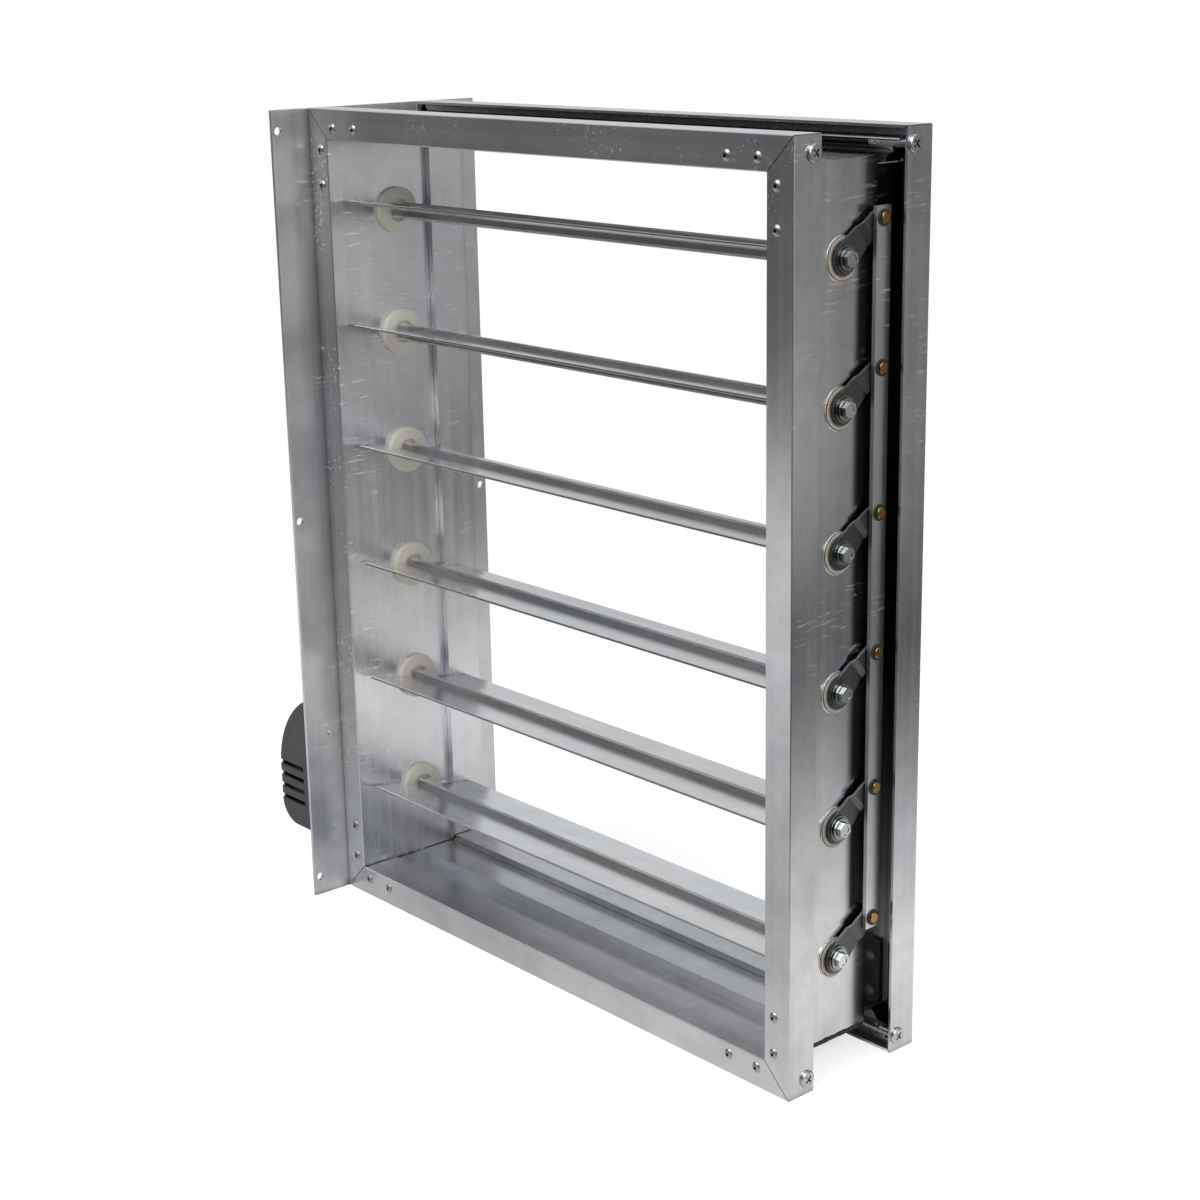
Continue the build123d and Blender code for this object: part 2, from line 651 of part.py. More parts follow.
# Side plate, with mounting holes along its front and rear overhangs, and its screws
base_screw_world = [(y, FIRST_AXIS_Z + z) for y, z in BASE_SCREW_POINTS]
with BuildPart() as mounting_plate:
    with BuildSketch(across(PLATE_X)):
        with Locations((0, FRAME_HEIGHT / 2)):
            Rectangle(FRAME_DEPTH + 2 * PLATE_OVERHANG, FRAME_HEIGHT)
        with Locations(*[(y, z) for y in (-PLATE_HOLE_Y, PLATE_HOLE_Y) for z in PLATE_HOLE_Z]):
            Circle(PLATE_HOLE_D / 2, mode=Mode.SUBTRACT)
        with Locations((0, FIRST_AXIS_Z)):
            Circle(PLATE_SHAFT_HOLE_D / 2, mode=Mode.SUBTRACT)
        with Locations(*PLATE_SCREW_POINTS):
            Circle(PLATE_SCREW_D / 2 + HOLE_FIT, mode=Mode.SUBTRACT)
        with Locations(*base_screw_world):
            Circle(BASE_SCREW_D / 2 + HOLE_FIT, mode=Mode.SUBTRACT)
    extrude(amount=PLATE_T)
save(mounting_plate, "mounting_plate")
with BuildPart() as plate_screws:
    with BuildSketch(across(PLATE_X)):
        with Locations(*PLATE_SCREW_POINTS):
            Circle(PLATE_SCREW_D / 2)
    extrude(amount=PLATE_T + WALL + PLATE_SCREW_TAIL)
    with BuildSketch(across(PLATE_X)):
        with Locations(*PLATE_SCREW_POINTS):
            Circle(PLATE_SCREW_HEAD_D / 2)
    extrude(amount=-PLATE_SCREW_HEAD_H)
    rims = plate_screws.edges().filter_by(GeomType.CIRCLE).group_by(Axis.X)[0]
    fillet(rims, radius=PLATE_SCREW_HEAD_H / 2)
save(plate_screws, "plate_screws")

# Actuator cover: a domed hood open to the plate, with vent slots round its outer edges
hood_front = Plane(origin=(PLATE_X, -ACT_FORWARD, FIRST_AXIS_Z), x_dir=(-1, 0, 0), z_dir=(0, 1, 0))
hood_length = ACT_FORWARD + ACT_BACK
slot_low = SLOT_RISE - SLOT_PITCH * (SLOT_COUNT - 1) / 2
slot_points = [(ACT_THICK - SLOT_LENGTH / 2, slot_low + i * SLOT_PITCH) for i in range(SLOT_COUNT)]
hub_hole = HUB_D / 2 + MOVING_GAP
button_point = (BUTTON_FORWARD, BUTTON_RISE)
with BuildPart() as actuator_cover:
    with BuildSketch(hood_front) as hood:
        with BuildLine():
            Polyline((0, ACT_ABOVE), (0, -ACT_BELOW), (ACT_THICK, -ACT_BELOW), (ACT_THICK, ACT_DOME_START))
            TangentArc((ACT_THICK, ACT_DOME_START), (0, ACT_ABOVE), tangent=(0, 1))
        make_face()
        fillet(hood.vertices().group_by(Axis.X)[-1].sort_by(Axis.Y)[0], radius=ACT_CORNER)
    extrude(amount=hood_length)
    ends = actuator_cover.faces().filter_by(Axis.Y)
    rims = [e for e in ends.edges() if e.center().X < PLATE_X - ACT_WALL / 2]
    fillet(rims, radius=ACT_EDGE)
    with BuildSketch(hood_front.offset(ACT_WALL)) as hollow:
        with BuildLine():
            Polyline(
                (0, ACT_ABOVE - ACT_WALL),
                (0, ACT_WALL - ACT_BELOW),
                (COVER_IN, ACT_WALL - ACT_BELOW),
                (COVER_IN, ACT_DOME_START),
            )
            TangentArc((COVER_IN, ACT_DOME_START), (0, ACT_ABOVE - ACT_WALL), tangent=(0, 1))
        make_face()
        inner_corner = hollow.vertices().group_by(Axis.X)[-1].sort_by(Axis.Y)[0]
        fillet(inner_corner, radius=ACT_CORNER - ACT_WALL)
    extrude(amount=hood_length - 2 * ACT_WALL, mode=Mode.SUBTRACT)
    with BuildSketch(hood_front):
        with Locations(*slot_points):
            Rectangle(SLOT_LENGTH, SLOT_HEIGHT)
    extrude(amount=ACT_EDGE, mode=Mode.SUBTRACT)
    with BuildSketch(hood_front.offset(hood_length)):
        with Locations(*slot_points):
            Rectangle(SLOT_LENGTH, SLOT_HEIGHT)
    extrude(amount=-ACT_EDGE, mode=Mode.SUBTRACT)
    with BuildSketch(outward(COVER_IN)):
        Circle(hub_hole)
        with Locations(button_point):
            Circle(BUTTON_D / 2 + RUNNING_FIT)
        with Locations(*ahead(PILLAR_POINTS)):
            Circle(COVER_SCREW_D / 2 + HOLE_FIT)
    extrude(amount=ACT_WALL, mode=Mode.SUBTRACT)
    with BuildSketch(Plane(origin=(PLATE_X - GLAND_OUT, -GLAND_FORWARD, FIRST_AXIS_Z - ACT_BELOW))):
        Circle(GLAND_THREAD_D / 2 + HOLE_FIT)
    extrude(amount=ACT_WALL, mode=Mode.SUBTRACT)
save(actuator_cover, "actuator_cover")

# Actuator base inside the cover, with pillars for the cover and posts for the board
base_low = ACT_WALL + ACT_BASE_GAP - ACT_BELOW
base_high = ACT_ABOVE - 2 * ACT_WALL
base_front = ACT_FORWARD - ACT_WALL - ACT_BASE_GAP
base_back = ACT_WALL + ACT_BASE_GAP - ACT_BACK
post_dy = BOARD_LENGTH / 2 - BOARD_POST_INSET
post_dz = BOARD_WIDTH / 2 - BOARD_POST_INSET
post_y = (BOARD_FORWARD - post_dy, BOARD_FORWARD + post_dy)
post_points = [(y, BOARD_RISE + dz) for y in post_y for dz in (-post_dz, post_dz)]
with BuildPart() as actuator_base:
    with BuildSketch(outward(0)):
        with Locations(((base_front + base_back) / 2, (base_low + base_high) / 2)):
            Rectangle(base_front - base_back, base_high - base_low)
        Circle(hub_hole, mode=Mode.SUBTRACT)
        with Locations(*ahead(BASE_SCREW_POINTS)):
            Circle(BASE_SCREW_D / 2 + HOLE_FIT, mode=Mode.SUBTRACT)
    extrude(amount=ACT_BASE_T)
    with BuildSketch(outward(ACT_BASE_T)):
        with Locations(*ahead(PILLAR_POINTS)):
            Circle(PILLAR_D / 2)
    extrude(amount=COVER_IN - ACT_BASE_T)
    with BuildSketch(outward(ACT_BASE_T)):
        with Locations(*post_points):
            Circle(BOARD_POST_D / 2)
    extrude(amount=BOARD_STAND)
    with BuildSketch(outward(COVER_IN)):
        with Locations(*ahead(PILLAR_POINTS)):
            Circle(COVER_SCREW_D / 2 + HOLE_FIT)
    extrude(amount=-COVER_SCREW_DEPTH, mode=Mode.SUBTRACT)
save(actuator_base, "actuator_base")
with BuildPart() as cover_screws:
    with BuildSketch(outward(ACT_THICK)):
        with Locations(*ahead(PILLAR_POINTS)):
            Circle(COVER_SCREW_D / 2)
    extrude(amount=-ACT_WALL - COVER_SCREW_DEPTH + MOVING_GAP)
    with BuildSketch(outward(ACT_THICK)):
        with Locations(*ahead(PILLAR_POINTS)):
            Circle(COVER_SCREW_HEAD_D / 2)
    extrude(amount=COVER_SCREW_HEAD_H)
    rims = cover_screws.edges().filter_by(GeomType.CIRCLE).group_by(Axis.X)[0]
    fillet(rims, radius=COVER_SCREW_HEAD_H / 2)
save(cover_screws, "cover_screws")
with BuildPart() as base_screws:
    with BuildSketch(outward(ACT_BASE_T)):
        with Locations(*ahead(BASE_SCREW_POINTS)):
            Circle(BASE_SCREW_D / 2)
    extrude(amount=-ACT_BASE_T - PLATE_T - BASE_SCREW_TAIL)
    with BuildSketch(outward(ACT_BASE_T)):
        with Locations(*ahead(BASE_SCREW_POINTS)):
            Circle(BASE_SCREW_HEAD_D / 2)
    extrude(amount=BASE_SCREW_HEAD_H)
save(base_screws, "base_screws")

# Drive on the first shaft: hub with pointer, clamp screw and output gear
hub_out = ACT_THICK + HUB_PROUD
clamp_out = ACT_THICK + (HUB_PROUD - POINTER_T) / 2
with BuildPart() as actuator_hub:
    with BuildSketch(outward(HUB_START)):
        Circle(HUB_D / 2)
    extrude(amount=hub_out - HUB_START)
    with BuildSketch(outward(hub_out)):
        with Locations((HUB_D / 4 + POINTER_LENGTH / 2, 0)):
            Rectangle(HUB_D / 2 + POINTER_LENGTH, POINTER_WIDTH)
    extrude(amount=-POINTER_T)
    with BuildSketch(outward(HUB_START)):
        Circle(SHAFT_D / 2 + SNUG_FIT)
    extrude(amount=hub_out - HUB_START, mode=Mode.SUBTRACT)
    with BuildSketch(Plane(origin=(PLATE_X - clamp_out, 0, FIRST_AXIS_Z))):
        Circle(CLAMP_SCREW_D / 2 + SNUG_FIT)
    extrude(amount=HUB_D / 2, mode=Mode.SUBTRACT)
save(actuator_hub, "actuator_hub")
with BuildPart() as hub_clamp_screw:
    with BuildSketch(Plane(origin=(PLATE_X - clamp_out, 0, FIRST_AXIS_Z + SHAFT_D / 2))):
        Circle(CLAMP_SCREW_D / 2)
    extrude(amount=HUB_D / 2 - SHAFT_D / 2)
    with BuildSketch(Plane(origin=(PLATE_X - clamp_out, 0, FIRST_AXIS_Z + HUB_D / 2))):
        RegularPolygon(CLAMP_HEAD_AF / 2, 6, major_radius=False)
    extrude(amount=CLAMP_HEAD_H)
save(hub_clamp_screw, "hub_clamp_screw")
with BuildPart() as output_gear:
    with BuildSketch(outward(GEAR_START)):
        Circle(GEAR_ROOT_D / 2)
        with PolarLocations(GEAR_ROOT_D / 2, GEAR_TEETH):
            Rectangle(2 * GEAR_TOOTH_H, GEAR_TOOTH_W)
        Circle(HUB_D / 2 + SNUG_FIT, mode=Mode.SUBTRACT)
    extrude(amount=GEAR_T)
save(output_gear, "output_gear")

# Motor, board, release button and cable gland
with BuildPart() as actuator_motor:
    with BuildSketch(outward(ACT_BASE_T)):
        with Locations((MOTOR_FORWARD, MOTOR_RISE)):
            Circle(MOTOR_D / 2)
    extrude(amount=MOTOR_LENGTH)
    with BuildSketch(outward(ACT_BASE_T + MOTOR_LENGTH)):
        with Locations((MOTOR_FORWARD, MOTOR_RISE)):
            Circle(MOTOR_NECK_D / 2)
    extrude(amount=MOTOR_NECK_H)
save(actuator_motor, "actuator_motor")
with BuildPart() as circuit_board:
    with BuildSketch(outward(ACT_BASE_T + BOARD_STAND)):
        with Locations((BOARD_FORWARD, BOARD_RISE)):
            Rectangle(BOARD_LENGTH, BOARD_WIDTH)
    extrude(amount=BOARD_T)
save(circuit_board, "circuit_board")
with BuildPart() as release_button:
    with BuildSketch(outward(COVER_IN - MOVING_GAP)):
        with Locations(button_point):
            Circle(BUTTON_D / 2)
    extrude(amount=MOVING_GAP + ACT_WALL + BUTTON_PROUD)
    fillet(release_button.edges().filter_by(GeomType.CIRCLE).sort_by(Axis.X)[0], radius=BUTTON_PROUD / 4)
    with BuildSketch(outward(COVER_IN - MOVING_GAP)):
        with Locations(button_point):
            Circle(BUTTON_FLANGE_D / 2)
    extrude(amount=-BUTTON_FLANGE_T)
save(release_button, "release_button")
gland_x = PLATE_X - GLAND_OUT
gland_z = FIRST_AXIS_Z - ACT_BELOW
with BuildPart() as cable_gland:
    with BuildSketch(Plane(origin=(gland_x, -GLAND_FORWARD, gland_z - GLAND_HEX_H - GLAND_NUT_H))):
        Circle(GLAND_NUT_D / 2)
    extrude(amount=GLAND_NUT_H)
    fillet(cable_gland.edges().filter_by(GeomType.CIRCLE).sort_by(Axis.Z)[0], radius=GLAND_NUT_ROUND)
    with BuildSketch(Plane(origin=(gland_x, -GLAND_FORWARD, gland_z - GLAND_HEX_H))):
        RegularPolygon(GLAND_AF / 2, 6, major_radius=False)
    extrude(amount=GLAND_HEX_H)
    with BuildSketch(Plane(origin=(gland_x, -GLAND_FORWARD, gland_z))):
        Circle(GLAND_THREAD_D / 2)
    extrude(amount=ACT_WALL + GLAND_INSIDE)
    with BuildSketch(Plane(origin=(gland_x, -GLAND_FORWARD, gland_z - GLAND_HEX_H - GLAND_NUT_H))):
        Circle(GLAND_BORE_D / 2)
    extrude(amount=GLAND_HEX_H + GLAND_NUT_H + ACT_WALL + GLAND_INSIDE, mode=Mode.SUBTRACT)
save(cable_gland, "cable_gland")
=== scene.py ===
import math

import bpy
from mathutils import Matrix, Vector


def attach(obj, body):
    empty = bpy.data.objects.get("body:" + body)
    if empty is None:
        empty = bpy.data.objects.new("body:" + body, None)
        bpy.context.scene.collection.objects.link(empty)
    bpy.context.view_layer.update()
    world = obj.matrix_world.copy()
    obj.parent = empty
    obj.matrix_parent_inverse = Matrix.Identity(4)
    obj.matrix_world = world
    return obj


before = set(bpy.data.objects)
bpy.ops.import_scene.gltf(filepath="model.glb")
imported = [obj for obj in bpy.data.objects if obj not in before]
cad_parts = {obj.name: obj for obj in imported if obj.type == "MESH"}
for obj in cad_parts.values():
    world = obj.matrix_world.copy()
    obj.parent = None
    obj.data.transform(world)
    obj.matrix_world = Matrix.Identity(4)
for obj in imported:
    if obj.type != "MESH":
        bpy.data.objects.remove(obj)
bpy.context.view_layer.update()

scene = bpy.context.scene
scene.view_settings.view_transform = "Standard"

# Measures of the part, in millimetres
MM = 1000.0  # in a metre
PART_HEIGHT = 668.0
FIRST_AXIS, PITCH, BLADES = 84.0, 100.0, 6  # the shafts' axes, from the lowest up

# Borders of the frame's stepped webs, in metres. Each is a narrow range inside the wall's thickness
WEB_ASIDE, WEB_ABOVE = (0.2460, 0.2465), (0.3133, 0.3138)
FRONT_RISER, REAR_RISER = (-0.0345, -0.0335), (0.0325, 0.0335)
FRONT_STEP, REAR_STEP = 0.0025, 0.0060

WHITE = (1.0, 1.0, 1.0, 1.0)
SCUFF_TINT = (0.95, 0.94, 0.94, 1.0)
SIDE_SHADE_TINT = (0.22, 0.22, 0.23, 1.0)


def look(name, **sockets):
    """A new material: itself, its node tree, Principled shader and object coordinates."""
    mat = bpy.data.materials.new(name)
    mat.use_nodes = True
    tree = mat.node_tree
    shader = next(n for n in tree.nodes if n.type == "BSDF_PRINCIPLED")
    for socket, value in sockets.items():
        shader.inputs[socket].default_value = value
    place = tree.nodes.new("ShaderNodeTexCoord").outputs["Object"]
    return mat, tree, shader, place


def node(tree, kind, inputs=None, **settings):
    """A node with its settings and its inputs, each a value or an output to link."""
    new = tree.nodes.new("ShaderNode" + kind)
    for key, value in settings.items():
        setattr(new, key, value)
    for key, value in (inputs or {}).items():
        if isinstance(value, bpy.types.NodeSocket):
            tree.links.new(value, new.inputs[key])
        else:
            new.inputs[key].default_value = value
    return new


def feed(tree, shader, **outputs):
    """Outputs linked to the shader's sockets, which are named with _ for a space."""
    for socket, output in outputs.items():
        tree.links.new(output, shader.inputs[socket.replace("_", " ")])


def calc(tree, operation, *values):
    """The result of a math operation on one to three values."""
    return node(tree, "Math", dict(enumerate(values)), operation=operation).outputs[0]


def length(tree, vector):
    """The length of a vector."""
    return node(tree, "VectorMath", {0: vector}, operation="LENGTH").outputs["Value"]


def toward(tree, vector, direction):
    """How far a vector goes in a direction."""
    return node(tree, "VectorMath", {0: vector, 1: direction}, operation="DOT_PRODUCT").outputs["Value"]


def xyz(tree, vector):
    """The coordinates of a vector, by name."""
    return node(tree, "SeparateXYZ", {0: vector}).outputs


def stretch(tree, place, scale, turn=(0.0, 0.0, 0.0)):
    """Coordinates scaled by axis, so that a noise becomes lines along the axis with the least scale."""
    inputs = {"Vector": place, "Rotation": turn, "Scale": scale}
    return node(tree, "Mapping", inputs).outputs["Vector"]


def along(axis, fine, slow):
    """Scales by axis: slow along the given axis and fine across it."""
    return tuple(slow if i == "XYZ".index(axis) else fine for i in range(3))


def noise(tree, vector, scale=1.0, detail=3.0, rough=0.5):
    """A noise value from 0 to 1."""
    settings = {"Vector": vector, "Scale": scale, "Detail": detail, "Roughness": rough}
    return node(tree, "TexNoise", settings).outputs["Fac"]


def ramp(tree, value, stops):
    """A colour ramp through (position, grey or colour) stops."""
    new = node(tree, "ValToRGB", {"Fac": value})
    cells = new.color_ramp.elements
    while len(cells) < len(stops):
        cells.new(0.5)
    for cell, (at, tint) in zip(cells, stops):
        cell.position = at
        cell.color = (*tint, 1.0) if isinstance(tint, tuple) else (tint, tint, tint, 1.0)
    return new.outputs["Color"]


def span(tree, value, low, high, out_low=0.0, out_high=1.0):
    """A value mapped from one range to another and held at its ends."""
    inputs = {"Value": value, "From Min": low, "From Max": high, "To Min": out_low, "To Max": out_high}
    return node(tree, "MapRange", inputs).outputs["Result"]


def blend(tree, factor, first, second, mode="MIX"):
    """Two colours mixed by a factor."""
    new = node(tree, "MixRGB", {"Fac": factor, "Color1": first, "Color2": second}, blend_type=mode)
    return new.outputs["Color"]


def shade(tree, tint, factor, value, stops):
    """A colour multiplied by a ramp of a value, as far as the factor says."""
    return blend(tree, factor, tint, ramp(tree, value, stops), "MULTIPLY")


def painted_occlusion_shade(tree, tint, reach, local, stops, factor=1.0):
    """A colour darkened by painted shade in corners and along joints, as far as the factor says."""
    hollow = node(tree, "AmbientOcclusion", {"Distance": reach}, samples=8, only_local=local)
    return shade(tree, tint, factor, hollow.outputs["AO"], stops)


def bump(tree, shader, height, strength, distance):
    """Surface relief from a height value."""
    inputs = {"Height": height, "Strength": strength, "Distance": distance}
    feed(tree, shader, Normal=node(tree, "Bump", inputs).outputs["Normal"])


def in_channel(tree, place):
    """1 on the frame's parts outside the stepped webs, in the open channels and on the flanges, else 0."""
    at = xyz(tree, place)
    rear = span(tree, at["Y"], *REAR_RISER, 0.0, REAR_STEP)
    front = span(tree, at["Y"], *FRONT_RISER, FRONT_STEP, 0.0)
    step = calc(tree, "ADD", rear, front)
    aside = calc(tree, "ADD", calc(tree, "ABSOLUTE", at["X"]), step)
    height = calc(tree, "SUBTRACT", at["Z"], PART_HEIGHT / 2 / MM)
    height = calc(tree, "ADD", calc(tree, "ABSOLUTE", height), step)
    return calc(tree, "MAXIMUM", span(tree, aside, *WEB_ASIDE), span(tree, height, *WEB_ABOVE))


def aluminium(
    name, axis, tone, rough, wear=1.0, local=False, channel_shade=False,
    corner=0.010, sparse=0.52, grain=1.0, side_shade=0.0,
):
    """Mill aluminium with drawn lines along an axis, cloudy handling marks, pale scuffs and specks.

    wear is the strength of the pale marks, and a higher sparse leaves fewer scuffs. grain is the strength
    of the drawn lines. corner is the reach of the painted shade in corners, seen from this piece alone if
    local.
    deep paints shade in the open channels, and edge paints shade on the faces that look to the front or
    rear.
    """
    mat, tree, shader, place = look(name)
    height = xyz(tree, place)["Z"]

    # Metal: warmer and cooler patches, drawn lines, wide bands, clouds and a smoky mottle
    lines = noise(tree, stretch(tree, place, along(axis, 480.0, 1.6)), detail=4.0, rough=0.7)
    bands = noise(tree, stretch(tree, place, along(axis, 120.0, 0.8)), detail=2.0)
    cloud = noise(tree, place, scale=9.0, detail=4.0, rough=0.6)
    smoke = noise(tree, place, scale=38.0, detail=6.0, rough=0.68)
    cool = tuple(c * f for c, f in zip(tone, (0.97, 0.99, 1.02)))
    warm = tuple(c * f for c, f in zip(tone, (1.01, 0.99, 0.98)))
    tint = ramp(tree, noise(tree, place, scale=5.0, detail=2.0), [(0.35, cool), (0.65, warm)])
    tint = shade(tree, tint, 0.16 * grain, lines, [(0.25, 0.62), (0.75, 1.0)])
    tint = shade(tree, tint, 0.20, bands, [(0.3, 0.55), (0.7, 1.0)])
    tint = shade(tree, tint, 0.40, cloud, [(0.3, 0.62), (0.62, 1.0)])
    tint = shade(tree, tint, 0.08 + 0.16 * grain, smoke, [(0.38, 0.60), (0.58, 1.0)])

    # Marks: slanting scuffs in patches, more of them high up, and specks all over
    slant = stretch(tree, place, (420.0, 45.0, 420.0), turn=(0.5, 0.35, 0.6))
    scuff = span(tree, noise(tree, slant, detail=3.0, rough=0.7), 0.585, 0.65)
    patch = noise(tree, place, scale=17.0, detail=3.0, rough=0.6)
    patch = calc(tree, "ADD", patch, span(tree, height, 0.0, PART_HEIGHT / MM, -0.06, 0.06))
    scuff = calc(tree, "MULTIPLY", scuff, span(tree, patch, sparse, sparse + 0.10))
    speck = span(tree, noise(tree, place, scale=520.0, detail=2.0), 0.765, 0.785)
    marks = span(tree, calc(tree, "MAXIMUM", scuff, speck), 0.0, 1.0, 0.0, 0.75 * wear)
    tint = blend(tree, marks, tint, SCUFF_TINT)

    # Painted shade: darker faces that look to the front or rear, darker corners and darker insides of the
    # channels, less dark low down
    # Painted shade on the faces that look to the front or rear, as strong as edge says
    if side_shade:
        across = calc(tree, "ABSOLUTE", xyz(tree, node(tree, "TexCoord").outputs["Normal"])["Y"])
        tint = blend(tree, span(tree, across, 0.85, 0.95, 0.0, side_shade), tint, SIDE_SHADE_TINT)
    # Painted shade in corners, and where other parts meet unless local
    if corner:
        tint = painted_occlusion_shade(tree, tint, corner, local, [(0.25, 0.30), (0.75, 1.0)])
    # Painted shade inside the open channels, less dark low down
    if channel_shade:
        channel_shade_mask = calc(tree, "MULTIPLY", in_channel(tree, place), span(tree, height, 0.05, 0.30, 0.35, 1.0))
        tint = painted_occlusion_shade(tree, tint, 0.060, True, [(0.36, 0.14), (0.74, 1.0)], channel_shade_mask)

    feed(
        tree,
        shader,
        Base_Color=tint,
        Metallic=span(tree, marks, 0.0, 1.0, 1.0, 0.35),
        Roughness=span(tree, bands, 0.2, 0.8, rough - 0.04, rough + 0.05),
    )
    bump(tree, shader, lines, 0.05 * grain, 0.00003)
    return mat


def metal(name, tone, rough, mottled=0.25, shade_levels=None, local=True):
    """Metal hardware with a faint mottle and painted shade in its corners.

    levels, if given, are where a ramp of painted shade along X starts and ends, and its stops.
    """
    mat, tree, shader, place = look(name, Metallic=1.0)
    mottle = noise(tree, place, scale=700.0, detail=3.0, rough=0.6)
    tint = ramp(tree, mottle, [(0.3, tuple(c * (1.0 - mottled) for c in tone)), (0.7, tone)])
    stain = span(tree, noise(tree, place, scale=90.0, detail=2.0), 0.4, 0.7, 0.0, 0.35)
    tint = blend(tree, stain, tint, (tone[0], tone[1] * 0.95, tone[2] * 0.84, 1.0))
    # Painted shade along X, darker towards the foot of the piece
    if shade_levels:
        start, end, stops = shade_levels
        tint = shade(tree, tint, 1.0, span(tree, xyz(tree, place)["X"], start, end), stops)
    # Painted shade in corners, and also where other parts meet unless local
    tint = painted_occlusion_shade(tree, tint, 0.0025, local, [(0.35, 0.06), (0.80, 1.0)])
    feed(tree, shader, Base_Color=tint, Roughness=span(tree, mottle, 0.3, 0.7, rough - 0.04, rough + 0.05))
    bump(tree, shader, mottle, 0.08, 0.00005)
    return mat


def nylon_rings_hub_shadow(name, pitch, first, stops, rough):
    """Nylon flanges in a row up the Z axis, coloured in rings by the distance from each one's axis, the
    inner rings a painted shadow of the lever hub.
    """
    mat, tree, shader, place = look(name)
    at = xyz(tree, place)
    level = calc(tree, "WRAP", at["Z"], first + pitch / 2, first - pitch / 2)
    height = calc(tree, "SUBTRACT", level, first)
    radius = length(tree, node(tree, "CombineXYZ", {"Y": at["Y"], "Z": height}).outputs[0])
    grime = noise(tree, place, scale=260.0, detail=4.0, rough=0.65)
    # Ring colours by radius, with the dark inner rings a painted shadow of the lever hub
    tint = ramp(tree, span(tree, radius, 0.009, 0.0150), stops)
    tint = shade(tree, tint, 0.55, grime, [(0.3, 0.45), (0.65, 1.0)])
    feed(tree, shader, Base_Color=tint, Roughness=span(tree, grime, 0.2, 0.8, rough + 0.1, rough - 0.08))
    bump(tree, shader, grime, 0.25, 0.0001)
    return mat


def moulded(name, tone, dark, rough, grain=900.0, depth=0.0001):
    """Moulded plastic with a fine skin texture and slight unevenness of colour."""
    mat, tree, shader, place = look(name)
    patch = noise(tree, place, scale=60.0, detail=4.0, rough=0.6)
    skin = noise(tree, place, scale=grain, detail=2.0)
    tint = ramp(tree, patch, [(0.3, dark), (0.65, tone)])
    feed(tree, shader, Base_Color=tint, Roughness=span(tree, skin, 0.2, 0.8, rough - 0.06, rough + 0.06))
    bump(tree, shader, skin, 0.3, depth)
    return mat


MILL, PALE = (0.80, 0.81, 0.83), (0.88, 0.88, 0.89)
# Painted shade on the lever bolts: dark low down at the washer, bright at the head
BOLT_SHADE_LEVELS = (0.2515, 0.2585, [(0.10, 0.30), (0.20, 0.42), (0.34, 0.60), (0.42, 0.90), (0.95, 1.0)])
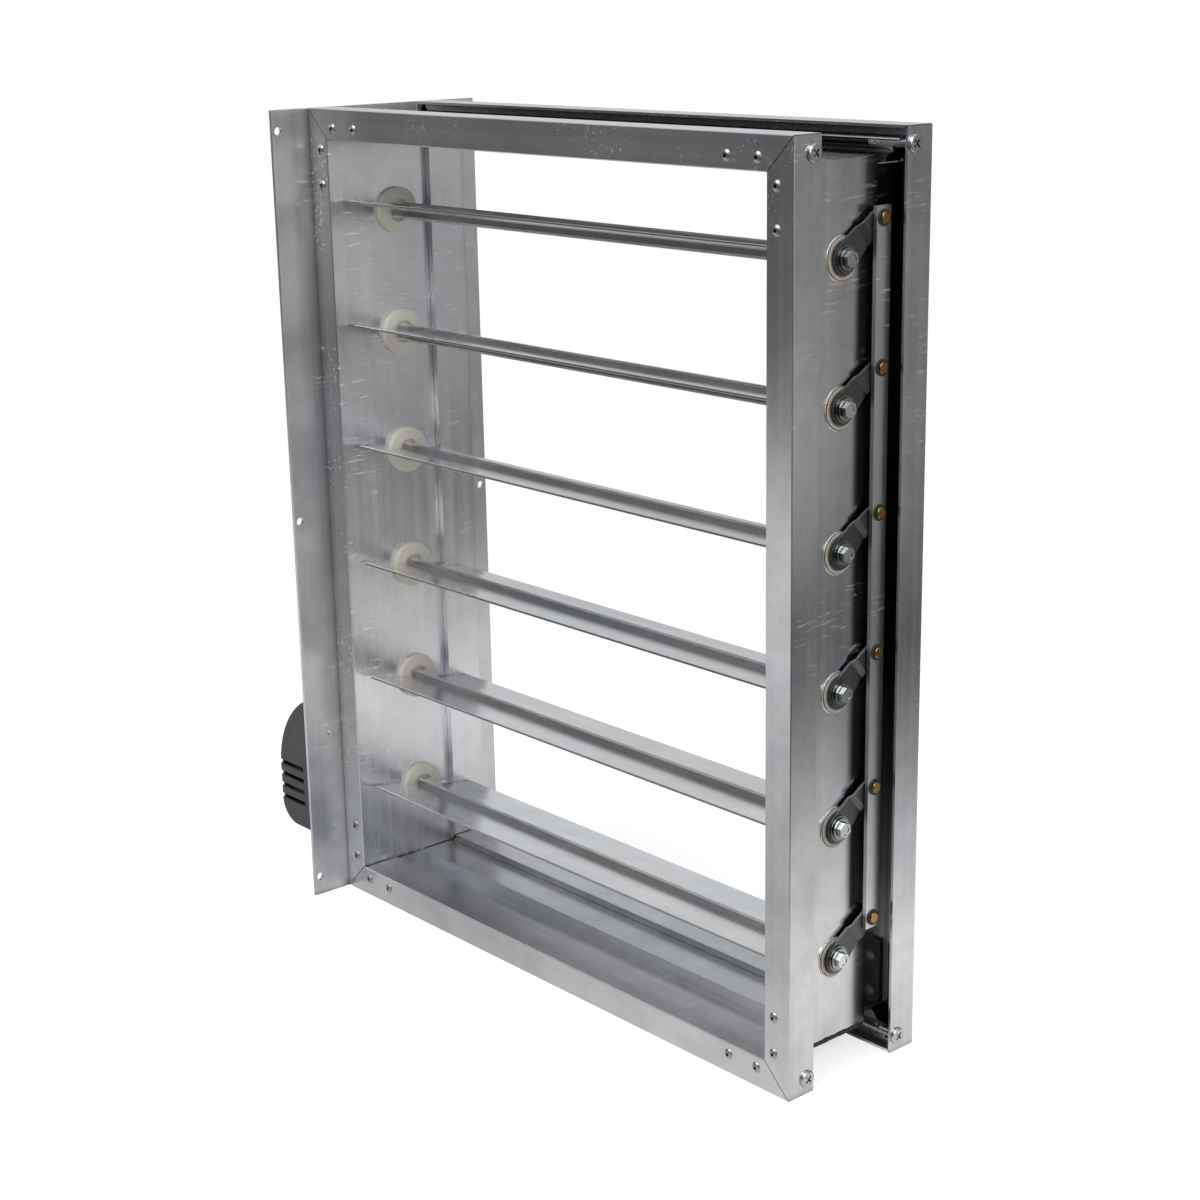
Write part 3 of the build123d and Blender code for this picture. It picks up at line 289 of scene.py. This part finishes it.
# Rings of a right bush from its axis out: the dark inner rings are a painted shadow of the lever hub, the
# cream and brown rings further out the nylon's own colour
BUSH_RINGS_AND_HUB_SHADOW = [
    (0.0, (0.06, 0.05, 0.04)),
    (0.42, (0.16, 0.13, 0.10)),
    (0.62, (0.40, 0.35, 0.29)),
    (0.80, (0.52, 0.47, 0.40)),
    (0.90, (0.22, 0.17, 0.13)),
    (1.0, (0.42, 0.37, 0.31)),
]
paint = {
    "frame_x": aluminium(
        "frame_along_x", "X", MILL, 0.25, wear=0.45, local=True, channel_shade=True, corner=0.0025, grain=0.5
    ),
    # The left member is the same aluminium as the others, paler here as painted light
    "frame_left": aluminium(
        "frame_left_z_painted_light", "Z", PALE, 0.26, local=True, corner=0.002, sparse=0.47, grain=0.4
    ),
    "frame_right": aluminium("frame_right_z", "Z", MILL, 0.22, wear=0.35, channel_shade=True),
    "blade": aluminium(
        "blade_along_x", "X", (0.91, 0.91, 0.91), 0.24, wear=0.3, corner=0.0, grain=0.15, side_shade=0.7
    ),
    "plate": aluminium("plate_sheet", "Z", PALE, 0.34, wear=0.7),
    "bar": aluminium("bar_flat", "Z", (0.80, 0.79, 0.78), 0.30, wear=0.5, local=True),
    "burr": aluminium("burr_bright", "X", (0.92, 0.92, 0.92), 0.42, local=True),
    # Rivets take painted shade also from the flange round them
    "rivet": metal("rivet_satin", (0.52, 0.51, 0.51), 0.30, local=False),
    "steel": metal("zinc_plate", (0.62, 0.64, 0.66), 0.26),
    "bolt": metal("bolt_zinc", (0.74, 0.78, 0.80), 0.16, mottled=0.12, shade_levels=BOLT_SHADE_LEVELS),
    "lever": metal("lever_steel", (0.15, 0.15, 0.16), 0.38),
    "bracket": metal("bracket_steel", (0.10, 0.10, 0.11), 0.45),
    "brass": metal("pin_brass", (0.46, 0.28, 0.09), 0.22, mottled=0.4),
    "hub": metal("hub_sinter", (0.34, 0.35, 0.36), 0.5),
    "gear": metal("gear_brass", (0.66, 0.48, 0.20), 0.34),
    "motor": metal("motor_can", (0.50, 0.51, 0.53), 0.38),
    "nylon_left": moulded("nylon_cream", (0.86, 0.83, 0.74), (0.78, 0.75, 0.64), 0.45),
    "nylon_right": nylon_rings_hub_shadow("nylon_aged_hub_shadow", PITCH / MM, FIRST_AXIS / MM, BUSH_RINGS_AND_HUB_SHADOW, 0.45),
    "sealant": moulded(
        "joint_sealant", (0.020, 0.020, 0.022), (0.012, 0.012, 0.013), 0.55, grain=700.0, depth=0.0002
    ),
    "link_bush": moulded("bush_dark", (0.035, 0.030, 0.026), (0.02, 0.018, 0.016), 0.5),
    "cover": moulded(
        "cover_grey", (0.068, 0.068, 0.076), (0.053, 0.053, 0.059), 0.48, grain=1400.0, depth=0.00015
    ),
    "base": moulded("base_grey", (0.10, 0.10, 0.11), (0.08, 0.08, 0.088), 0.5, grain=1000.0),
    "board": moulded("board_green", (0.03, 0.17, 0.07), (0.02, 0.12, 0.05), 0.35, grain=500.0),
    "button": moulded("button_red", (0.52, 0.09, 0.05), (0.44, 0.07, 0.04), 0.42),
    "dial": moulded("dial_pale", (0.58, 0.58, 0.56), (0.50, 0.50, 0.48), 0.45),
    "gland": moulded("gland_black", (0.05, 0.05, 0.05), (0.035, 0.035, 0.035), 0.5),
}
finish_of = {
    "frame_top": "frame_x",
    "frame_bottom": "frame_x",
    "frame_left": "frame_left",
    "frame_right": "frame_right",
    "corner_brackets": "bracket",
    "front_rivets": "rivet",
    "rear_rivets": "rivet",
    "corner_screws": "steel",
    "left_bushes": "nylon_left",
    "right_bushes": "nylon_right",
    "bottom_stop_angle": "frame_x",
    "top_stop_angle": "frame_x",
    "mounting_plate": "plate",
    "plate_screws": "steel",
    "actuator_base": "base",
    "actuator_cover": "cover",
    "cover_screws": "steel",
    "base_screws": "plate",
    "actuator_motor": "motor",
    "circuit_board": "board",
    "cable_gland": "gland",
    "actuator_hub": "hub",
    "hub_clamp_screw": "steel",
    "output_gear": "gear",
    "link_bar": "bar",
    "link_bushes": "link_bush",
    "release_button": "button",
}
for i in range(1, BLADES + 1):
    finish_of[f"blade_{i}"] = "blade"
    finish_of[f"shaft_{i}"] = "steel"
    finish_of[f"lever_{i}"] = "lever"
    finish_of[f"lever_bolt_{i}"] = "bolt"
    finish_of[f"link_pin_{i}"] = "brass"
for name, finish in finish_of.items():
    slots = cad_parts[name].data.materials
    slots.clear()
    slots.append(paint[finish])


def add_piece(name, points, faces, finish, slot):
    """A mesh piece on the frame, from points in millimetres."""
    mesh = bpy.data.meshes.new(name)
    mesh.from_pydata([tuple(c / MM for c in p) for p in points], [], faces)
    mesh.validate()
    mesh.polygons.foreach_set("use_smooth", [True] * len(mesh.polygons))
    mesh.materials.append(paint[finish])
    piece = bpy.data.objects.new(name, mesh)
    scene.collection.objects.link(piece)
    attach(piece, "frame")


def swept(rings, closed):
    """Points and faces of a tube through rings of equal size, joined up or capped at its ends."""
    size = len(rings[0])
    points = [p for ring in rings for p in ring]
    faces = []
    for i in range(len(rings) if closed else len(rings) - 1):
        a, b = i * size, (i + 1) % len(rings) * size
        faces += [(a + j, a + (j + 1) % size, b + (j + 1) % size, b + j) for j in range(size)]
    if not closed:
        faces += [tuple(reversed(range(size))), tuple(range(len(points) - size, len(points)))]
    return points, faces


def around(profile, t, y, z):
    """A profile of (x, radius) pairs, turned by an angle about the axis along X at y, z."""
    return [(x, y + r * math.cos(t), z + r * math.sin(t)) for x, r in profile]


def uneven(t, seed):
    """A smooth repeatable wobble from -1 to 1 round a turn."""
    wide = 0.5 * math.sin(3 * t + seed * 1.7)
    fine = 0.3 * math.sin(7 * t + seed * 2.9)
    return wide + fine + 0.2 * math.sin(17 * t + seed)


# Burrs: bright uneven edges raised in the right web round each bush, heavier towards one side
WEB_X = 247.5
BURR_STEPS, BURR_ROOT, BURR_TALL = 144, 0.3, 0.55
BURR_INNER, BURR_OUTER = 14.45, 15.2
HEAVY_TURN = 2.3
for i in range(BLADES):
    rings = []
    for k in range(BURR_STEPS):
        t = 2 * math.pi * k / BURR_STEPS
        heavy = max(0.0, math.cos(t + HEAVY_TURN))
        outer = BURR_OUTER + 0.35 * uneven(t, i) + 0.5 * heavy
        crest = WEB_X + BURR_TALL + 0.22 * uneven(2 * t, i + 3) + 0.25 * heavy
        profile = [
            (WEB_X - BURR_ROOT, BURR_INNER),
            (crest - 0.15, BURR_INNER + 0.1),
            (crest, BURR_INNER + 0.35),
            (crest - 0.2, (BURR_INNER + outer) / 2 + 0.2),
            (WEB_X + 0.05, outer),
            (WEB_X - BURR_ROOT, outer),
        ]
        rings.append(around(profile, t, 0.0, FIRST_AXIS + PITCH * i))
    add_piece(f"bush_burr_{i + 1}", *swept(rings, True), "burr", "frame")

# Threads of the corner screws, seen through the open ports, with a run-out at both ends
SCREW_AXES = [(-48.0, 12.0), (48.0, 12.0), (-48.0, 656.0), (48.0, 656.0)]
THREAD_PITCH, THREAD_FROM, THREAD_TO = 1.1, 230.0, 262.0
THREAD_STEPS, RUN_OUT = 28, 20  # in one turn, and at each end
THREAD_FOOT, THREAD_CORE, THREAD_TALL = 2.9, 3.0, 0.32
FOOT_HALF, CREST_HALF = 0.42, 0.08
for i, (y, z) in enumerate(SCREW_AXES):
    rings = []
    steps = int((THREAD_TO - THREAD_FROM) / THREAD_PITCH * THREAD_STEPS)
    for k in range(steps + 1):
        t = 2 * math.pi * k / THREAD_STEPS
        x = THREAD_FROM + (THREAD_TO - THREAD_FROM) * k / steps
        tall = THREAD_TALL * min(1.0, k / RUN_OUT, (steps - k) / RUN_OUT) + 0.04
        profile = [
            (x - FOOT_HALF, THREAD_FOOT),
            (x - CREST_HALF, THREAD_CORE + tall),
            (x + CREST_HALF, THREAD_CORE + tall),
            (x + FOOT_HALF, THREAD_FOOT),
        ]
        rings.append(around(profile, t, y, z))
    add_piece(f"screw_thread_{i + 1}", *swept(rings, False), "steel", "steel")

# Dial: a raised arc with plain ticks on the cover's outer face, behind the hub's pointer
FACE_X, DIAL_ROOT, BEVEL = -338.0, 0.2, 0.15
ARC_INNER, ARC_OUTER, ARC_HALF, ARC_TALL, ARC_STEPS = 19.6, 20.6, 100.0, 0.5, 80
TICK_INNER, SHORT_TICK, LONG_TICK = 20.5, 23.6, 25.5
TICK_STEP, TICK_HALF, TICK_TALL, TICK_STEPS = 7.5, 1.1, 0.45, 2
TICKS_ASIDE, LONG_EVERY = 12, 4


def raised(inner, outer, start, end, tall, steps):
    """Points and faces of a low bevelled block of the arc between two angles."""
    top = FACE_X - tall
    profile = [
        (FACE_X + DIAL_ROOT, inner),
        (top + BEVEL, inner),
        (top, inner + BEVEL),
        (top, outer - BEVEL),
        (top + BEVEL, outer),
        (FACE_X + DIAL_ROOT, outer),
    ]
    rings = []
    for k in range(steps + 1):
        t = math.radians(start + (end - start) * k / steps)
        rings.append([(x, -r * math.cos(t), FIRST_AXIS + r * math.sin(t)) for x, r in profile])
    return swept(rings, False)


blocks = [(ARC_INNER, ARC_OUTER, -ARC_HALF, ARC_HALF, ARC_TALL, ARC_STEPS)]
for k in range(-TICKS_ASIDE, TICKS_ASIDE + 1):
    outer = SHORT_TICK if k % LONG_EVERY else LONG_TICK
    middle = TICK_STEP * k
    blocks.append((TICK_INNER, outer, middle - TICK_HALF, middle + TICK_HALF, TICK_TALL, TICK_STEPS))
points, faces = [], []
for block in blocks:
    more, sides = raised(*block)
    faces += [tuple(j + len(points) for j in side) for side in sides]
    points += more
add_piece("position_dial", points, faces, "dial", "base")

# Sealant: a dark bead under each joint of the bottom web, one for each level of the stepped web
LEVELS = [("front", 24.0, -60.5, -33.0), ("middle", 21.5, -33.0, 32.0), ("rear", 27.5, 32.0, 60.5)]
MITRE_X, WALL = 267.0, 2.0  # the joint lies where the distance from here equals the height
BEAD_STEP, BEAD_WAVE = 1.5, 40  # length of a step, and steps in one turn of the wobble
for side, sign in (("left", -1), ("right", 1)):
    for zone, face, start, end in LEVELS:
        rings = []
        count = int((end - start) / BEAD_STEP)
        for k in range(count + 1):
            t = 2 * math.pi * k / BEAD_WAVE
            thick = 0.6 + 0.15 * uneven(t, face + sign)
            leg = 2.6 + 0.4 * uneven(1.3 * t, face - sign)
            profile = [
                (-leg, 0.25),
                (-leg, -0.5 * thick),
                (-0.6, -thick),
                (thick, -thick),
                (thick, 0.6),
                (0.5 * thick, leg),
                (-0.25, leg),
                (-0.25, 0.25),
            ]
            y = start + (end - start) * k / count
            ring = [(sign * (MITRE_X - face + WALL + u), y, face - WALL + v) for u, v in profile]
            rings.append(ring if sign < 0 else ring[::-1])
        add_piece(f"joint_seal_{side}_{zone}", *swept(rings, False), "sealant", "gland")

# Camera: solved from the frame's edges in the photograph
AZIMUTH, DOWN, ROLL = 0.8529, 0.2774, -0.0191
CAMERA_AT, FOCAL_LENGTH, SENSOR_WIDTH = (1.23071, -1.07495, 0.76608), 65.89, 36.0
level = Vector((math.cos(AZIMUTH), math.sin(AZIMUTH), 0))
ahead = Vector((-math.sin(AZIMUTH) * math.cos(DOWN), math.cos(AZIMUTH) * math.cos(DOWN), -math.sin(DOWN)))
upright = level.cross(ahead)
right = level * math.cos(ROLL) + upright * math.sin(ROLL)
above = upright * math.cos(ROLL) - level * math.sin(ROLL)
lens = bpy.data.cameras.new("camera")
lens.sensor_width = SENSOR_WIDTH
lens.lens = FOCAL_LENGTH
lens.clip_start = 0.05
camera = bpy.data.objects.new("camera", lens)
scene.collection.objects.link(camera)
turn = Matrix((right, above, -ahead)).transposed().to_4x4()
camera.matrix_world = Matrix.Translation(CAMERA_AT) @ turn
scene.camera = camera

# Directions over the floor, about as the camera sees them
RIGHTWARD, NEARER, BEYOND = (0.72, 0.69, 0.0), (0.72, -0.69, 0.0), (-0.72, 0.69, 0.0)
PAST_RIGHT = (0.87, 0.49, 0.0)

# Floor: white to the camera, with the object's shadow close by. Reflections see a level of its own by
# distance and direction: bright close by, darker further off, bright again far off to the right behind
# the part, darker towards the camera, and under the part a painted shadow
FLOOR_HALF, FLOOR_GREY, FLOOR_LIFT = 9, (0.62, 0.62, 0.62, 1.0), 0.62
MIRROR_TINT, UNDER_PART_SHADOW = (1.0, 0.99, 0.97, 1.0), 0.08
floor_mesh = bpy.data.meshes.new("floor")
floor_mesh.from_pydata(
    [(x * FLOOR_HALF, y * FLOOR_HALF, 0) for x, y in ((-1, -1), (1, -1), (1, 1), (-1, 1))],
    [],
    [(0, 1, 2, 3)],
)
floor = bpy.data.objects.new("floor", floor_mesh)
scene.collection.objects.link(floor)
mat = bpy.data.materials.new("floor_white")
mat.use_nodes = True
tree = mat.node_tree
tree.nodes.clear()
path = node(tree, "LightPath").outputs
place = node(tree, "TexCoord").outputs["Object"]
reach = length(tree, place)
chalk = node(tree, "BsdfDiffuse", {"Color": FLOOR_GREY}).outputs[0]
lift = node(tree, "Emission", {"Color": WHITE, "Strength": FLOOR_LIFT}).outputs[0]
near = node(tree, "AddShader", {0: chalk, 1: lift}).outputs[0]
plain = node(tree, "Emission", {"Color": WHITE, "Strength": 1.0}).outputs[0]
sheet = node(tree, "MixShader", {0: span(tree, reach, 0.55, 1.0), 1: near, 2: plain}).outputs[0]
at = xyz(tree, place)
rightward = toward(tree, place, RIGHTWARD)
bearing = calc(tree, "ARCTAN2", at["Y"], at["X"])
close = span(tree, rightward, -0.1, 0.3, 0.56, 0.92)
middle = span(tree, rightward, -0.3, 0.3, 0.88, 0.11)
far = span(tree, rightward, -0.3, 0.6, 0.14, span(tree, bearing, 0.66, 0.77, 0.95, 0.17))
fade = span(tree, reach, 1.4, 2.5, span(tree, reach, 0.45, 1.1, close, middle), far)
fade = calc(tree, "MULTIPLY", fade, span(tree, toward(tree, place, NEARER), 0.32, 0.75, 1.0, 0.30))
# Painted shadow under the part, in what reflections see of the floor
past_side = span(tree, calc(tree, "ABSOLUTE", at["X"]), 0.235, 0.262, UNDER_PART_SHADOW, 1.0)
past_front = span(tree, calc(tree, "ABSOLUTE", at["Y"]), 0.045, 0.064, UNDER_PART_SHADOW, 1.0)
fade = calc(tree, "MULTIPLY", fade, calc(tree, "MAXIMUM", past_side, past_front))
mirror = node(tree, "Emission", {"Color": MIRROR_TINT, "Strength": fade}).outputs[0]
lit = node(tree, "MixShader", {0: path["Is Glossy Ray"], 1: chalk, 2: mirror}).outputs[0]
shown = node(tree, "MixShader", {0: path["Is Camera Ray"], 1: lit, 2: sheet}).outputs[0]
node(tree, "OutputMaterial", {"Surface": shown})
floor_mesh.materials.append(mat)

# World: white to the camera. For light and reflections a dim room, brighter overhead and with two pale
# patches, one behind the part and one past its right side
ROOM_TINT = (0.96, 0.98, 1.0, 1.0)
world = bpy.data.worlds.new("studio")
scene.world = world
world.use_nodes = True
tree = world.node_tree
tree.nodes.clear()
path = node(tree, "LightPath").outputs
seen = calc(tree, "MAXIMUM", path["Is Camera Ray"], path["Is Transmission Ray"])
facing = node(tree, "TexCoord").outputs["Generated"]
beyond = span(tree, toward(tree, facing, BEYOND), 0.70, 0.98, 0.0, 0.75)
beside = span(tree, toward(tree, facing, PAST_RIGHT), 0.945, 0.99, 0.0, 0.95)
overhead = span(tree, xyz(tree, facing)["Z"], 0.25, 0.9, 0.16, 0.85)
strength = calc(tree, "MAXIMUM", calc(tree, "MAXIMUM", beyond, beside), overhead)
room = node(tree, "Background", {"Color": ROOM_TINT, "Strength": strength}).outputs[0]
white = node(tree, "Background", {"Color": WHITE, "Strength": 1.0}).outputs[0]
pick = node(tree, "MixShader", {0: seen, 1: room, 2: white}).outputs[0]
node(tree, "OutputWorld", {"Surface": pick})


def lamp(name, place, aim, size, power):
    """A soft rectangular area light."""
    data = bpy.data.lights.new(name, "AREA")
    data.shape = "RECTANGLE"
    data.size, data.size_y = size
    data.energy = power
    light = bpy.data.objects.new(name, data)
    scene.collection.objects.link(light)
    light.location = place
    light.rotation_euler = (Vector(aim) - Vector(place)).to_track_quat("-Z", "Y").to_euler()


lamp("key", (-0.2, -1.4, 2.4), aim=(0.0, 0.0, 0.3), size=(1.6, 1.6), power=34.0)
lamp("side", (2.4, -0.4, 1.6), aim=(0.1, 0.0, 0.3), size=(1.2, 1.6), power=30.0)
